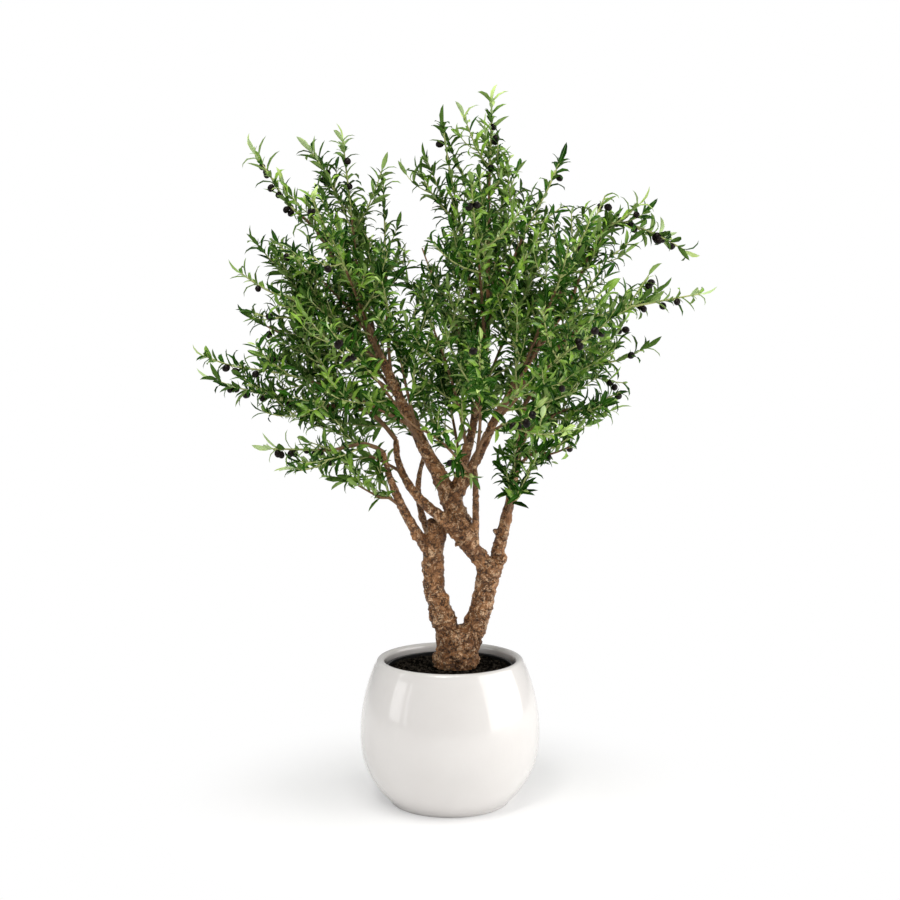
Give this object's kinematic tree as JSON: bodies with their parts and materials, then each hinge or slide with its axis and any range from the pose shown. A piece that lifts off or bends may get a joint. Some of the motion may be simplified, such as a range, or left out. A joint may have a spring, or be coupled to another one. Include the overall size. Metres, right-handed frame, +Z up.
{
  "type": "potted olive tree",
  "caption": "Small olive tree with a pale forked trunk and a loose, airy crown of narrow leaves and dark olives, standing in a round glazed planter.",
  "frame": {"origin": "middle of the planter's flat underside, on the surface that it stands on", "axes": "+Z up along the tree; the front, as the tree is shown, is -Y; +X is to the right of someone who looks at the front"},
  "size_m": [1.1572, 0.9576, 1.608],
  "materials": {
    "white_glaze": "high gloss off-white glaze",
    "black_plastic": "satin black moulded plastic",
    "potting_soil": "dark crumbly soil, matt",
    "bark": "rough wrinkled grey-brown bark",
    "foliage": "matt grey-green leaves with paler undersides"
  },
  "bodies": {
    "root": {"planter": "white_glaze", "nursery_pot": "black_plastic", "soil": "potting_soil", "trunk": "bark", "left_stem": "bark", "right_stem": "bark", "cross_limb": "bark", "central_stem": "bark", "left_leader": "bark", "right_leader": "bark", "centre_leader": "bark", "front_rise": "bark", "right_bough": "bark", "left_outer_bough": "bark", "left_inner_bough": "bark", "left_rear_bough": "bark", "right_arm": "bark", "lower_left": "foliage", "low_tuft": "foliage", "left_low": "foliage", "left_mid": "foliage", "left_shoulder": "foliage", "left_high": "foliage", "left_flank": "foliage", "upper_left": "foliage", "left_crest": "foliage", "inner_left": "foliage", "front_left": "foliage", "front_left_high": "foliage", "rear_left": "foliage", "rear_left_low": "foliage", "rear_left_high": "foliage", "crown_left": "foliage", "summit": "foliage", "right_top": "foliage", "heart": "foliage", "front_centre": "foliage", "front_high": "foliage", "rear_centre": "foliage", "rear_high": "foliage", "rear_heart": "foliage", "right_crest": "foliage", "right_inner": "foliage", "right_arch": "foliage", "far_right": "foliage", "right_mid": "foliage", "right_low": "foliage", "lower_right": "foliage", "right_foot": "foliage", "front_right": "foliage", "front_right_high": "foliage", "front_right_low": "foliage", "rear_right": "foliage", "rear_right_low": "foliage", "rear_right_high": "foliage", "front_low": "foliage", "left_heart": "foliage", "heart_low": "foliage", "left_skirt": "foliage"}
  },
  "joints": []
}
